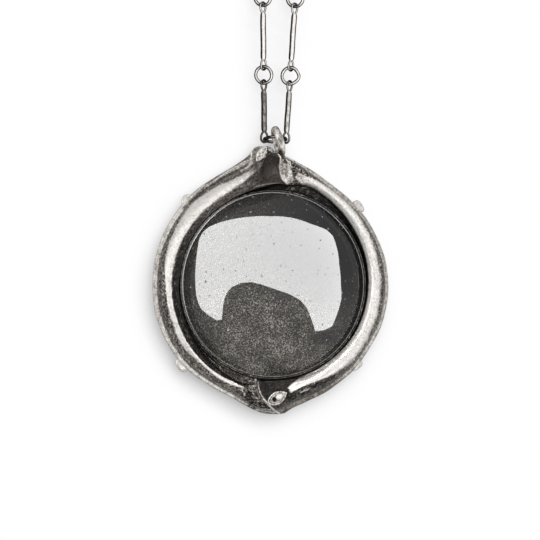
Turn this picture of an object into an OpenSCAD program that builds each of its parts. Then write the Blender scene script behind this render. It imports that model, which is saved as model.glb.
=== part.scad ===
// Ouroboros pendant on a bar-and-ring chain, hanging from the top of its loop.
// Two serpents make the round frame, each with its head over the other's tail.
// Millimetres, +Z up. The pendant's face looks along -Y and the origin is where the loop hangs.

/* [Pendant] */
// Radius of the polished stone
stone_r = 17.6; // [15:0.1:17.6]
// Radius of the sphere that the stone's dome is part of
dome_r = 26; // [22:0.5:40]
// Height of the stone's straight girdle
girdle_h = 1.7; // [1:0.1:2.2]
// Thickness of the back plate under the stone
plate_h = 1.2; // [0.8:0.1:1.4]
// Radius of the flattened beads round the back edge
bead_r = 1.15; // [0.8:0.05:1.3]

/* [Bail] */
// Mean radius of the bail, the ring that is soldered to the top of the frame
bail_r = 2.25; // [2.1:0.05:2.4]
// Radius of the bail's wire
bail_wire_r = 0.7; // [0.5:0.05:0.75]
// Lean of the bail towards the left, seen from the front
bail_lean = 15; // [10:1:18]

/* [Chain] */
// Bars in each straight strand, each with a round link above it
pairs = 14; // [6:1:20]
// Length of a bar between the wires that its two eyes hold
bar_length = 11.6; // [9:0.1:14]
// Length of the lowest bar of each strand, a little shorter than the others
first_bar_length = 10.6; // [9:0.1:14]
// Radius of a bar's shaft
shaft_r = 0.52; // [0.4:0.02:0.6]
// Mean radius of a round link
ring_r = 1.6; // [1.5:0.05:2]
// Mean radius of the middle link, which passes through the bail
centre_r = 2.1; // [2.1:0.05:2.4]
// Lean of each strand away from the loop's middle
spread = 2.2; // [1.5:0.1:4]
// Lean of the whole loop towards the right
loop_lean = 1.6; // [0:0.1:3]
// Length of the clasp's barrel
barrel_length = 8; // [6:0.5:10]

/* [Hidden] */

// Frame sizes. Depths are measured forwards from the back of the plate.
bezel_gap = 0.12;
bezel_r = stone_r + bezel_gap;
bezel_wall = 0.25;
bezel_taper = 0.1;
bezel_h = 3.1;
ledge_h = 2.4;
inner_lean = 0.12;
inner_drop = 0.6;
side_step = 0.2;
flank_round = 0.9;
flank_top = 0.9;
lip_h = 1.05;
lip_w = 0.75;
lip_rise = 0.05;
lip_round = 0.2;
edge_round = 0.35;
stations = 56;
crowding = 0.72;

// The two serpents, each from its tail at one seam (turn 0) to its snout at the other (turn 180).
// The right one's head is at the bottom and the left one's at the top.
// in_: the edge beside the stone. crest_: the ridge. out_r: the outer edge. round: 1 is a
// convex side towards the stone and 0 a hollow one. shoulder_h: where the flank ends.
TURN = 0; IN_R = 1; IN_H = 2; CREST_R = 3; CREST_H = 4; OUT_R = 5; ROUND = 6; SHOULDER_H = 7;
RIGHT_SERPENT = [
    // turn  in_r   in_h  crest_r crest_h out_r  round  shoulder_h
    [   0,   19.2,  2.9,  22.2,   3.6,   25.2,  0.80,  3.0],
    [   5,   19.5,  3.0,  21.7,   3.9,   24.3,  0.80,  2.8],
    [  10,   19.8,  3.1,  21.2,   4.2,   23.6,  0.90,  2.4],
    [  18,   19.8,  3.2,  20.9,   4.6,   22.9,  1.00,  1.9],
    [  30,   19.5,  3.4,  20.5,   4.9,   22.45, 1.00,  1.8],
    [  42,   19.1,  3.5,  20.2,   5.1,   22.3,  1.00,  1.8],
    [  65,   18.6,  3.7,  19.9,   5.3,   22.5,  1.00,  1.8],
    [  90,   18.3,  3.8,  19.7,   5.5,   22.8,  1.00,  1.8],
    [ 120,   18.2,  3.8,  19.6,   5.6,   22.75, 1.00,  1.8],
    [ 142,   18.1,  3.7,  19.8,   5.8,   22.95, 0.95,  1.8],
    [ 155,   18.2,  3.6,  19.9,   6.0,   23.1,  0.80,  1.9],
    [ 164,   18.3,  3.5,  20.6,   6.2,   23.5,  0.50,  2.2],
    [ 169,   18.3,  3.5,  21.4,   6.3,   23.85, 0.35,  2.5],
    [ 173,   18.3,  3.5,  21.9,   6.3,   24.3,  0.30,  2.7],
    [ 176.5, 18.4,  3.5,  22.3,   6.1,   24.7,  0.35,  2.7],
    [ 180,   18.5,  3.4,  22.3,   5.2,   24.8,  0.60,  2.6]
];
LEFT_SERPENT = [
    [   0,   19.2,  2.9,  21.3,   3.6,   24.8,  0.80,  3.0],
    [   5,   19.5,  3.0,  20.9,   3.9,   24.5,  0.80,  2.8],
    [  10,   19.7,  3.1,  20.7,   4.2,   23.6,  0.90,  2.4],
    [  18,   19.6,  3.2,  20.5,   4.6,   22.85, 1.00,  1.9],
    [  30,   19.4,  3.4,  20.4,   4.9,   22.65, 1.00,  1.8],
    [  42,   19.1,  3.5,  20.3,   5.1,   22.8,  1.00,  1.8],
    [  65,   18.6,  3.7,  20.0,   5.3,   22.95, 1.00,  1.8],
    [  90,   18.3,  3.8,  19.8,   5.5,   22.95, 1.00,  1.8],
    [ 120,   18.2,  3.8,  19.7,   5.6,   22.9,  1.00,  1.8],
    [ 142,   18.1,  3.7,  19.8,   5.8,   22.95, 0.95,  1.8],
    [ 155,   18.2,  3.6,  20.4,   6.1,   23.3,  0.80,  1.9],
    [ 164,   18.5,  3.5,  21.9,   6.4,   24.3,  0.50,  2.3],
    [ 169,   18.8,  3.4,  23.6,   6.6,   25.1,  0.25,  2.9],
    [ 173,   19.1,  3.4,  24.6,   6.7,   25.8,  0.20,  3.3],
    [ 176.5, 19.2,  3.5,  24.9,   6.3,   26.3,  0.35,  3.2],
    [ 180,   19.2,  3.4,  24.2,   4.9,   26.4,  0.70,  2.8]
];

// Each seam between a head and a tail bulges past the middle: most at seam_r, by seam_turn.
SEAM_R = 0; SEAM_TURN = 1; SEAM_FALL = 2;
UPPER_SEAM = [20.3, 9.8, 0.36];
LOWER_SEAM = [18.5, 10, 0.33];
seam_reach = 45;
mouth_gap = 0.5;

// Eyes of the two heads
EYE_X = 0; EYE_Z = 1; EYE_DEPTH = 2; EYE_TILT = 3; EYE_LENGTH = 4; EYE_WIDTH = 5;
EYES = [
    //  x      z      depth tilt length width
    [ -2.85,  24.5,   6.3,  50,  3.1,   1.7],
    [  0.4,  -21.75,  6.1,  34,  4.2,   2.3]
];
eye_tip = 0.15;
eye_thick = 0.9;
// The raised middle of an eye: its share of the whole, and how far it stands out
eye_core = 0.6;
eye_core_lift = 0.22;

// Beads soldered round the back edge
bead_turns = [48.5, 132.5, 228, 314.5];
bead_place_r = 23;
bead_flat = 0.42;
bead_root = 1.2;

// Bail: its lowest point is sunk in the notch between the upper head and tail.
foot_x = 1.75;
foot_z = 24.35;
bail_depth = 2.9;
bail_slack = 0.35;
solder_r = 1;
solder_sink = 1.3;
solder_rise = 0.6;

// Middle link of the chain, higher at the front, where the bail hangs
centre_wire_r = 0.3;
centre_tilt = 12;

// Round links, and the flat eyes at the ends of each bar
ring_wire_r = 0.28;
eye_hole_w = 1.02;
eye_hole_straight = 0.7;
eye_wall = 0.34;
eye_slack = 0.16;

// The stone stands on its bed of this height, and its girdle's upper edge is rounded.
stone_bed = 0.06;
girdle_round = 0.15;
dome_sink = 0.1;

// Clasp: a plain barrel with a ring at each end
barrel_r = 1.5;
clasp_ring_r = 1.2;
clasp_ring_sink = 0.35;

// Where the pieces lie
dome_foot_r = stone_r - girdle_round;
bail_x = foot_x - (bail_r + bail_wire_r) * sin(bail_lean);
bail_z = foot_z + (bail_r + bail_wire_r) * cos(bail_lean);
bail_seat = bail_r - bail_wire_r - centre_wire_r - bail_slack;
hinge_x = bail_x - bail_seat * sin(bail_lean);
hinge_z = bail_z + bail_seat * cos(bail_lean);
pitch = bar_length + 2 * ring_r;
function bar_foot(i) = i * pitch - (i > 0 ? bar_length - first_bar_length : 0);
last_ring = bar_foot(pairs) - ring_r;
roof_run = centre_r + last_ring * sin(spread) - barrel_length / 2 - clasp_ring_r + clasp_ring_sink;
roof_reach = ring_r + bar_length + clasp_ring_r;
roof_angle = asin(roof_run / roof_reach);
chain_height = last_ring * cos(spread) + roof_reach * cos(roof_angle);

// Helpers
function step(x) = let (t = min(1, max(0, x))) t * t * (3 - 2 * t);
function mix(a, b, t) = a + (b - a) * t;

// Smooth curve through one column of a table, at x.
function slope(table, column, i) =
    let (a = max(0, i - 1), b = min(len(table) - 1, i + 1))
    (table[b][column] - table[a][column]) / (table[b][TURN] - table[a][TURN]);
function smooth_at(table, column, x) =
    let (
        i = max([for (k = [0 : len(table) - 2]) if (k == 0 || table[k][TURN] <= x) k]),
        span = table[i + 1][TURN] - table[i][TURN],
        t = (x - table[i][TURN]) / span
    )
    table[i][column] * (1 + 2 * t) * pow(1 - t, 2)
    + slope(table, column, i) * span * t * pow(1 - t, 2)
    + table[i + 1][column] * t * t * (3 - 2 * t)
    - slope(table, column, i + 1) * span * t * t * (1 - t);

// Outline of one section of a serpent, from the seat of the stone out to the back: [radius, depth].
function side(r0, h0, r1, h1, bulge, t) =
    [
        mix(r0, r1, mix(sin(90 * t), 1 - cos(90 * t), bulge)),
        mix(h0, h1, mix(1 - cos(90 * t), sin(90 * t), bulge))
    ];
function section(table, turn) =
    let (
        in_r = smooth_at(table, IN_R, turn),
        in_h = smooth_at(table, IN_H, turn),
        crest_r = smooth_at(table, CREST_R, turn),
        crest_h = smooth_at(table, CREST_H, turn),
        out_r = smooth_at(table, OUT_R, turn),
        shoulder_h = smooth_at(table, SHOULDER_H, turn),
        bulge = smooth_at(table, ROUND, turn)
    )
    concat(
        [
            [bezel_r, plate_h],
            [bezel_r, bezel_h],
            [bezel_r + bezel_wall, bezel_h],
            [bezel_r + bezel_wall + bezel_taper, ledge_h],
            [in_r - inner_lean, in_h - inner_drop]
        ],
        [for (t = [0 : side_step : 1 - side_step / 2]) side(in_r, in_h, crest_r, crest_h, bulge, t)],
        [[crest_r, crest_h]],
        [for (t = [1 - side_step : -side_step : side_step / 2])
            side(out_r - flank_top, shoulder_h, crest_r, crest_h, flank_round, t)],
        [
            [out_r - flank_top, shoulder_h],
            [out_r - lip_w, lip_h + lip_rise],
            [out_r - lip_round, lip_h],
            [out_r, lip_h - lip_round],
            [out_r, edge_round],
            [out_r - edge_round, 0]
        ]
    );

// Turn of a point, moved so that the seam bulges from one serpent into the other.
function bulged(turn, r, upper) =
    let (
        near = 1 - step(min(turn, 180 - turn) / seam_reach),
        seam = upper == (turn > 90) ? UPPER_SEAM : LOWER_SEAM
    )
    turn + near * (seam[SEAM_TURN] - seam[SEAM_FALL] * pow(r - seam[SEAM_R], 2));
function at_turn(turn, r, depth) = [r * sin(turn), -depth, r * cos(turn)];

// Turns of the stations: close together at tail and head.
function station_turn(k) =
    let (t = k / (stations - 1))
    (180 - mouth_gap) * (t - crowding * sin(360 * t) / (2 * PI));

// Columns of points, one for each station of both serpents.
function frame_columns() =
    [for (upper = [false, true]) for (k = [0 : stations - 1])
        let (turn = station_turn(k), start = upper ? 180 : 0)
        [for (p = section(upper ? LEFT_SERPENT : RIGHT_SERPENT, turn))
            at_turn(start + bulged(turn, p[0], upper), p[0], p[1])]];

// Closed surface through the columns, with a pole on each face of the plate.
module frame_body() {
    columns = frame_columns();
    n = len(columns);
    m = len(columns[0]);
    front = n * m;
    back = front + 1;
    polyhedron(
        points = concat([for (c = columns) each c], [[0, -plate_h, 0], [0, 0, 0]]),
        faces = concat(
            [for (i = [0 : n - 1]) let (j = (i + 1) % n) [front, i * m, j * m]],
            [for (i = [0 : n - 1]) let (j = (i + 1) % n) [back, j * m + m - 1, i * m + m - 1]],
            [for (i = [0 : n - 1]) let (j = (i + 1) % n) for (k = [0 : m - 2])
                each [[i * m + k, i * m + k + 1, j * m + k], [i * m + k + 1, j * m + k + 1, j * m + k]]]
        )
    );
}

module bead(turn)
    rotate([0, turn, 0]) translate([0, -bead_r * bead_flat, 0]) hull() {
        translate([0, 0, bead_place_r]) scale([1, bead_flat, 1]) sphere(bead_r, $fn = 20);
        translate([0, 0, bead_place_r - bead_root]) sphere(bead_r * bead_flat, $fn = 12);
    }

// Almond-shaped lens that lies on the XZ plane.
module almond(length, width, thickness)
    hull() for (k = [-1 : 0.25 : 1])
        translate([k * (length / 2 - eye_tip), 0, 0]) scale([1, thickness / width, 1])
            sphere(max(eye_tip, width / 2 * (1 - k * k)), $fn = 12);

// An almond-shaped eye: a low lid with a bead in it.
module eye(e)
    translate([e[EYE_X], -e[EYE_DEPTH], e[EYE_Z]]) rotate([0, -e[EYE_TILT], 0]) {
        almond(e[EYE_LENGTH], e[EYE_WIDTH], eye_thick);
        translate([0, -eye_core_lift, 0])
            almond(e[EYE_LENGTH] * eye_core, e[EYE_WIDTH] * eye_core, eye_thick);
    }

// Round wire bent into a ring whose hole runs along Z.
module wire_ring(r, wire_r)
    rotate_extrude($fn = 48) translate([r, 0]) circle(wire_r, $fn = 16);

module bail() {
    translate([bail_x, -bail_depth, bail_z]) rotate([0, 90 - bail_lean, 0]) wire_ring(bail_r, bail_wire_r);
    hull() for (sink = [solder_r, solder_r + solder_sink])
        translate([foot_x, -bail_depth + sink / 2, foot_z - sink + solder_rise]) sphere(solder_r, $fn = 16);
}

module serpent_frame()
    color([0.66, 0.64, 0.61]) union() {
        frame_body();
        for (turn = bead_turns) bead(turn);
        for (e = EYES) eye(e);
        bail();
    }

module stone()
    color([0.13, 0.12, 0.12])
        rotate([90, 0, 0]) translate([0, 0, plate_h + stone_bed]) {
            cylinder(r = stone_r, h = girdle_h, $fn = 96);
            intersection() {
                translate([0, 0, girdle_h - sqrt(pow(dome_r, 2) - pow(dome_foot_r, 2))])
                    sphere(dome_r, $fn = 96);
                translate([0, 0, girdle_h - dome_sink])
                    cylinder(r = dome_foot_r, h = dome_r, $fn = 96);
            }
        }

module centre_ring()
    color([0.5, 0.49, 0.48])
        rotate([-centre_tilt, 0, 0]) wire_ring(centre_r, centre_wire_r);

// Outline of a flat eye, grown by edge, upright with its lowest hole edge at 0.
module eye_outline(edge) {
    hole_r = eye_hole_w / 2;
    for (y = [hole_r, hole_r + eye_hole_straight])
        translate([0, y]) circle(hole_r + edge, $fn = 32);
    translate([-hole_r - edge, hole_r]) square([2 * (hole_r + edge), eye_hole_straight]);
}

// Flat eye on the XZ plane, round a held wire whose centre is at the origin.
module flat_eye(held_r)
    translate([0, eye_wall / 2, -held_r - eye_slack]) rotate([90, 0, 0])
        linear_extrude(eye_wall) difference() {
            eye_outline(eye_wall);
            eye_outline(0);
        }

// A bar standing on the wire that its lower eye holds. lower_turn turns that eye about the bar.
module bar(length, lower_held_r, upper_held_r, lower_turn = 90) {
    eye_length = eye_hole_w + eye_hole_straight + eye_wall / 2 - eye_slack;
    shaft_foot = eye_length - lower_held_r;
    shaft_top = length - eye_length + upper_held_r;
    translate([0, 0, shaft_foot]) cylinder(r = shaft_r, h = shaft_top - shaft_foot, $fn = 24);
    rotate([0, 0, lower_turn]) flat_eye(lower_held_r);
    translate([0, 0, length]) rotate([180, 0, 90]) flat_eye(upper_held_r);
}

// One strand, from the middle link's wire up to the last round link, along +Z.
module strand_links()
    for (i = [0 : pairs - 1]) {
        first = i == 0;
        length = first ? first_bar_length : bar_length;
        translate([0, 0, bar_foot(i)]) {
            bar(length, first ? centre_wire_r : ring_wire_r, ring_wire_r, first ? 0 : 90);
            translate([0, 0, length + ring_r]) rotate([90, 0, 0]) wire_ring(ring_r, ring_wire_r);
        }
    }

// A strand, with the bar that leans in from its last round link to the clasp.
module strand(side)
    color([0.45, 0.44, 0.43]) translate([side * centre_r, 0, 0]) {
        rotate([0, side * spread, 0]) strand_links();
        translate([side * last_ring * sin(spread), 0, last_ring * cos(spread)])
            rotate([0, -side * roof_angle, 0])
                translate([0, 0, ring_r]) bar(bar_length, ring_wire_r, ring_wire_r);
    }

module clasp()
    color([0.6, 0.59, 0.57]) {
        rotate([0, 90, 0]) cylinder(r = barrel_r, h = barrel_length, center = true, $fn = 48);
        for (side = [-1, 1])
            translate([side * (barrel_length / 2 + clasp_ring_r - clasp_ring_sink), 0, 0])
                rotate([90, 0, 0]) wire_ring(clasp_ring_r, ring_wire_r);
    }

// The chain is drawn up from the centre of its middle link.
module place_chain()
    translate([0, 0, barrel_r]) rotate([0, loop_lean, 0]) translate([0, 0, -chain_height]) children();

module place_pendant()
    place_chain() rotate([0, -loop_lean, 0])
        translate([
            -hinge_x,
            bail_depth - centre_r * cos(centre_tilt),
            centre_r * sin(centre_tilt) - hinge_z
        ]) children();

place_pendant() serpent_frame();
place_pendant() stone();
place_chain() centre_ring();
place_chain() strand(-1);  // chain_left
place_chain() strand(1);  // chain_right
place_chain() translate([0, 0, chain_height]) clasp();
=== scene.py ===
"""Looks of an ouroboros pendant: oxidised silver round a dark polished dome, on a bar-and-ring chain.

Lengths are millimetres until a mesh is made. The pendant's own frame has its origin on the
stone's axis at the back plate, x to the right, depth towards the viewer and z up.
"""

import math

import bpy
import numpy as np
from mathutils import Matrix, Vector


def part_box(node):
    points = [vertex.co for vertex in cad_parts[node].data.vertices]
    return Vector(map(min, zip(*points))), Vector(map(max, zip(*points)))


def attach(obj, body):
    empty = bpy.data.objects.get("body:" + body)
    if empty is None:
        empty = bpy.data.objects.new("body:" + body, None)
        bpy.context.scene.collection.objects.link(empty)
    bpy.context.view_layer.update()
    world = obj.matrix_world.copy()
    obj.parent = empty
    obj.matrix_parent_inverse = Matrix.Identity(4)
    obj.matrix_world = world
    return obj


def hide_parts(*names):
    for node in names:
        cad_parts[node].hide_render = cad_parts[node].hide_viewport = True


MM = 0.001
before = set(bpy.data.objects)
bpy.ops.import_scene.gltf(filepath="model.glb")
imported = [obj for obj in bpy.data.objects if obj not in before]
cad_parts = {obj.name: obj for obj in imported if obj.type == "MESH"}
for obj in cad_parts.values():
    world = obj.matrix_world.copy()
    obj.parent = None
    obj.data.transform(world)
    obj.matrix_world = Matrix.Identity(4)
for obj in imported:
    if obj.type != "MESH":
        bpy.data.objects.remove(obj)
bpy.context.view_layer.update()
SCENE = bpy.context.scene

# Sizes repeated from the CAD source.
STONE_R = 17.6
DOME_R = 26.0
GIRDLE_H = 1.7
PLATE_H = 1.2
STONE_BED = 0.06
BEZEL_R = 17.72
BEZEL_WALL = 0.25
BEZEL_H = 3.1
BEZEL_TAPER = 0.1
LEDGE_H = 2.4
INNER_LEAN = 0.12
INNER_DROP = 0.6
FLANK_ROUND = 0.9
FLANK_TOP = 0.9
LIP_H = 1.05
LIP_W = 0.75
LIP_RISE = 0.05
LIP_ROUND = 0.2
EDGE_ROUND = 0.35
CROWDING = 0.72
MOUTH_GAP = 0.5
# Columns of the serpents' tables: turn in degrees, then radius and height of the inner edge and of
# the crest, the outer radius, how round the inner side is, and the flank's height at its shoulder.
TURN, IN_R, IN_H, CREST_R, CREST_H, OUT_R, ROUND, SHOULDER_H = range(8)
RIGHT_SERPENT = np.array([
    [0, 19.2, 2.9, 22.2, 3.6, 25.2, 0.8, 3.0],
    [5, 19.5, 3.0, 21.7, 3.9, 24.3, 0.8, 2.8],
    [10, 19.8, 3.1, 21.2, 4.2, 23.6, 0.9, 2.4],
    [18, 19.8, 3.2, 20.9, 4.6, 22.9, 1.0, 1.9],
    [30, 19.5, 3.4, 20.5, 4.9, 22.45, 1.0, 1.8],
    [42, 19.1, 3.5, 20.2, 5.1, 22.3, 1.0, 1.8],
    [65, 18.6, 3.7, 19.9, 5.3, 22.5, 1.0, 1.8],
    [90, 18.3, 3.8, 19.7, 5.5, 22.8, 1.0, 1.8],
    [120, 18.2, 3.8, 19.6, 5.6, 22.75, 1.0, 1.8],
    [142, 18.1, 3.7, 19.8, 5.8, 22.95, 0.95, 1.8],
    [155, 18.2, 3.6, 19.9, 6.0, 23.1, 0.8, 1.9],
    [164, 18.3, 3.5, 20.6, 6.2, 23.5, 0.5, 2.2],
    [169, 18.3, 3.5, 21.4, 6.3, 23.85, 0.35, 2.5],
    [173, 18.3, 3.5, 21.9, 6.3, 24.3, 0.3, 2.7],
    [176.5, 18.4, 3.5, 22.3, 6.1, 24.7, 0.35, 2.7],
    [180, 18.5, 3.4, 22.3, 5.2, 24.8, 0.6, 2.6],
])
LEFT_SERPENT = np.array([
    [0, 19.2, 2.9, 21.3, 3.6, 24.8, 0.8, 3.0],
    [5, 19.5, 3.0, 20.9, 3.9, 24.5, 0.8, 2.8],
    [10, 19.7, 3.1, 20.7, 4.2, 23.6, 0.9, 2.4],
    [18, 19.6, 3.2, 20.5, 4.6, 22.85, 1.0, 1.9],
    [30, 19.4, 3.4, 20.4, 4.9, 22.65, 1.0, 1.8],
    [42, 19.1, 3.5, 20.3, 5.1, 22.8, 1.0, 1.8],
    [65, 18.6, 3.7, 20.0, 5.3, 22.95, 1.0, 1.8],
    [90, 18.3, 3.8, 19.8, 5.5, 22.95, 1.0, 1.8],
    [120, 18.2, 3.8, 19.7, 5.6, 22.9, 1.0, 1.8],
    [142, 18.1, 3.7, 19.8, 5.8, 22.95, 0.95, 1.8],
    [155, 18.2, 3.6, 20.4, 6.1, 23.3, 0.8, 1.9],
    [164, 18.5, 3.5, 21.9, 6.4, 24.3, 0.5, 2.3],
    [169, 18.8, 3.4, 23.6, 6.6, 25.1, 0.25, 2.9],
    [173, 19.1, 3.4, 24.6, 6.7, 25.8, 0.2, 3.3],
    [176.5, 19.2, 3.5, 24.9, 6.3, 26.3, 0.35, 3.2],
    [180, 19.2, 3.4, 24.2, 4.9, 26.4, 0.7, 2.8],
])
# Where a head meets a tail: radius, turn and fall of the bulged seam, and how far it reaches.
UPPER_SEAM = (20.3, 9.8, 0.36)
LOWER_SEAM = (18.5, 10.0, 0.33)
SEAM_REACH = 45.0

BEAD_TURNS = (48.5, 132.5, 228, 314.5)
BEAD_R = 1.15
BEAD_PLACE_R = 23.0
BEAD_FLAT = 0.42

BAIL_R = 2.25
BAIL_WIRE_R = 0.7
BAIL_LEAN = 15.0
BAIL_DEPTH = 2.9
FOOT_X = 1.75
FOOT_Z = 24.35

PAIRS = 14
BAR_LENGTH = 11.6
FIRST_BAR_LENGTH = 10.6
SHAFT_R = 0.52
RING_R = 1.6
RING_WIRE_R = 0.28
CENTRE_R = 2.1
CENTRE_WIRE_R = 0.3
CENTRE_TILT = 12.0
SPREAD = 2.2
LOOP_LEAN = 1.6
EYE_HALF_W = 0.68
EYE_STRAIGHT = 0.7
EYE_LENGTH = 1.73
EYE_SLACK = 0.16
BARREL_LENGTH = 8.0
BARREL_R = 1.5
CLASP_RING_R = 1.2
CLASP_RING_SINK = 0.35

PITCH = BAR_LENGTH + 2 * RING_R
LAST_RING = PAIRS * PITCH - (BAR_LENGTH - FIRST_BAR_LENGTH) - RING_R
STRAND_RUN = LAST_RING * math.sin(math.radians(SPREAD))
STRAND_RISE = LAST_RING * math.cos(math.radians(SPREAD))
ROOF_RUN = CENTRE_R + STRAND_RUN - BARREL_LENGTH / 2 - CLASP_RING_R + CLASP_RING_SINK
ROOF_REACH = RING_R + BAR_LENGTH + CLASP_RING_R
ROOF_ANGLE = math.degrees(math.asin(ROOF_RUN / ROOF_REACH))
CHAIN_HEIGHT = STRAND_RISE + ROOF_REACH * math.cos(math.radians(ROOF_ANGLE))


def turn_about(axis, degrees):
    return Matrix.Rotation(math.radians(degrees), 4, axis)


def moved(x, y, z):
    return Matrix.Translation((x, y, z))


stone_low, stone_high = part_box("stone")
AXIS_X = (stone_low.x + stone_high.x) / 2
AXIS_Z = (stone_low.z + stone_high.z) / 2
BACK_Y = stone_high.y + (PLATE_H + STONE_BED) * MM

# From the pendant's frame and the chain's frame, in millimetres, to metres in the CAD frame.
PENDANT = moved(AXIS_X, BACK_Y, AXIS_Z) @ Matrix.Diagonal((MM, MM, MM, 1))
CHAIN = (
    Matrix.Diagonal((MM, MM, MM, 1))
    @ moved(0, 0, BARREL_R)
    @ turn_about("Y", LOOP_LEAN)
    @ moved(0, 0, -CHAIN_HEIGHT)
)

PIXEL = 0.19 * MM
CAMERA_AZIMUTH = -10.0
CAMERA_DISTANCE = 1.0
CAMERA_CLIP = (0.05, 20)
FRAME_PIXELS = 540
SENSOR = 36.0
# How far the stone's middle is right of the frame's middle and below it, in pixels, at that depth.
STONE_RIGHT = 0.5
STONE_BELOW = 14.5
AIM_DEPTH = 3


def make_camera():
    data = bpy.data.cameras.new("camera")
    data.sensor_width = SENSOR
    data.lens = SENSOR * CAMERA_DISTANCE / (FRAME_PIXELS * PIXEL)
    data.clip_start, data.clip_end = CAMERA_CLIP
    camera = bpy.data.objects.new("camera", data)
    SCENE.collection.objects.link(camera)
    a = math.radians(CAMERA_AZIMUTH)
    back = Vector((math.sin(a), -math.cos(a), 0))
    right = Vector((math.cos(a), math.sin(a), 0))
    middle = Vector((AXIS_X, BACK_Y - AIM_DEPTH * MM, AXIS_Z))
    shift = STONE_RIGHT - AIM_DEPTH * math.sin(a) * MM / PIXEL
    target = middle - right * shift * PIXEL + Vector((0, 0, STONE_BELOW * PIXEL))
    camera.location = target + back * CAMERA_DISTANCE
    camera.rotation_euler = back.to_track_quat("Z", "Y").to_euler()
    SCENE.camera = camera


make_camera()

# Shortest and longest of a noise's waves, as shares of its wavelength.
WAVE_SPREAD = (0.7, 1.5)


class Noise:
    """Sum of sine waves in seeded random directions, about -1 to 1."""

    def __init__(self, seed, wavelength, waves=22):
        draw = np.random.RandomState(seed)
        directions = draw.normal(size=(waves, 3))
        directions /= np.linalg.norm(directions, axis=1)[:, None]
        lengths = wavelength * draw.uniform(*WAVE_SPREAD, waves)
        self.waves = directions * (2 * math.pi / lengths)[:, None]
        self.phases = draw.uniform(0, 2 * math.pi, waves)
        self.scale = math.sqrt(2.0 / waves)

    def __call__(self, points):
        shape = points.shape[:-1]
        angle = points.reshape(-1, 3) @ self.waves.T + self.phases
        return (np.sin(angle).sum(1) * self.scale).reshape(shape)


def mix(a, b, t):
    return a + (b - a) * t


def step(low, high, x):
    t = np.clip((x - low) / (high - low), 0, 1)
    return t * t * (3 - 2 * t)


def full_turn(count):
    """Angles all round, the first one only once."""
    return np.linspace(0, 2 * math.pi, count, endpoint=False)


def grid_faces(rows, columns, wrap_rows, wrap_columns):
    faces = []
    for i in range(rows if wrap_rows else rows - 1):
        j = (i + 1) % rows
        for k in range(columns if wrap_columns else columns - 1):
            m = (k + 1) % columns
            faces.append((i * columns + k, i * columns + m, j * columns + m, j * columns + k))
    return faces


class Shape:
    """Gathers points and faces, with wear and painted light, mottle, streaks and flow at each point."""

    def __init__(self):
        self.points, self.faces, self.flow = [], [], []
        self.looks = {"wear": [], "mottle": [], "streak": []}
        self.count = 0

    # The wear level here also carries painted highlights and painted shade, standing in for light on the
    # silver.
    def add(self, points, faces, wear=0.6, mottle=1.0, streak=0.2, flow=None):
        points = np.asarray(points, float).reshape(-1, 3)
        n = len(points)
        self.points.append(points)
        self.faces += [tuple(v + self.count for v in f) for f in faces]
        for rows, value in zip(self.looks.values(), (wear, mottle, streak)):
            rows.append(np.broadcast_to(np.asarray(value, float).ravel(), (n,)))
        self.flow.append(points if flow is None else np.asarray(flow, float).reshape(-1, 3))
        self.count += n

    def build(self, name, place, material, body, nodes=()):
        points = placed(np.concatenate(self.points), place)
        mesh = bpy.data.meshes.new(name)
        mesh.from_pydata(points.tolist(), [], self.faces)
        for key, rows in self.looks.items():
            layer = mesh.attributes.new(key, "FLOAT", "POINT")
            layer.data.foreach_set("value", np.concatenate(rows).astype(np.float32))
        layer = mesh.attributes.new("flow", "FLOAT_VECTOR", "POINT")
        layer.data.foreach_set("vector", np.concatenate(self.flow).astype(np.float32).ravel())
        mesh.polygons.foreach_set("use_smooth", [True] * len(mesh.polygons))
        mesh.materials.append(material)
        mesh.update()
        piece = bpy.data.objects.new(name, mesh)
        SCENE.collection.objects.link(piece)
        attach(piece, body)
        if nodes:
            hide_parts(*nodes)
        return piece


def swept(path, radii, closed=False, sides=16, squash=1.0, normal=(0, 1, 0)):
    """Points and faces of a tube along a path. radii has one value for each point."""
    path = np.asarray(path, float)
    n = len(path)
    if closed:
        tangents = np.roll(path, -1, 0) - np.roll(path, 1, 0)
    else:
        tangents = np.gradient(path, axis=0)
    tangents /= np.linalg.norm(tangents, axis=1)[:, None]
    across = np.cross(tangents, np.asarray(normal, float))
    across /= np.linalg.norm(across, axis=1)[:, None]
    up = np.cross(across, tangents)
    angles = full_turn(sides)
    radii = np.broadcast_to(np.asarray(radii, float), (n,))[:, None, None]
    cos, sin = (f(angles)[None, :, None] for f in (np.cos, np.sin))
    ring = across[:, None] * cos + up[:, None] * squash * sin
    points = (path[:, None] + ring * radii).reshape(-1, 3)
    faces = [f[::-1] for f in grid_faces(n, sides, closed, True)]
    if not closed:
        faces.append(tuple(range(sides))[::-1])
        faces.append(tuple(range((n - 1) * sides, n * sides)))
    return points, faces


def lathe(profile, sides):
    """Points and faces of a closed form turned about Z, from the lower pole to the upper."""
    profile = np.asarray(profile, float)
    angles = full_turn(sides)
    r, h = profile[1:-1, :1], np.repeat(profile[1:-1, 1:], sides, 1)
    rows = len(r)
    points = np.stack([r * np.cos(angles), r * np.sin(angles), h], -1).reshape(-1, 3)
    points = np.concatenate([points, [[0, 0, profile[0, 1]], [0, 0, profile[-1, 1]]]])
    faces = grid_faces(rows, sides, False, True)
    low, high, last = rows * sides, rows * sides + 1, (rows - 1) * sides
    for k in range(sides):
        m = (k + 1) % sides
        faces.append((low, m, k))
        faces.append((high, last + k, last + m))
    return points, faces


def placed(points, matrix):
    matrix = np.array(matrix)
    return np.asarray(points) @ matrix[:3, :3].T + matrix[:3, 3]


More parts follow.
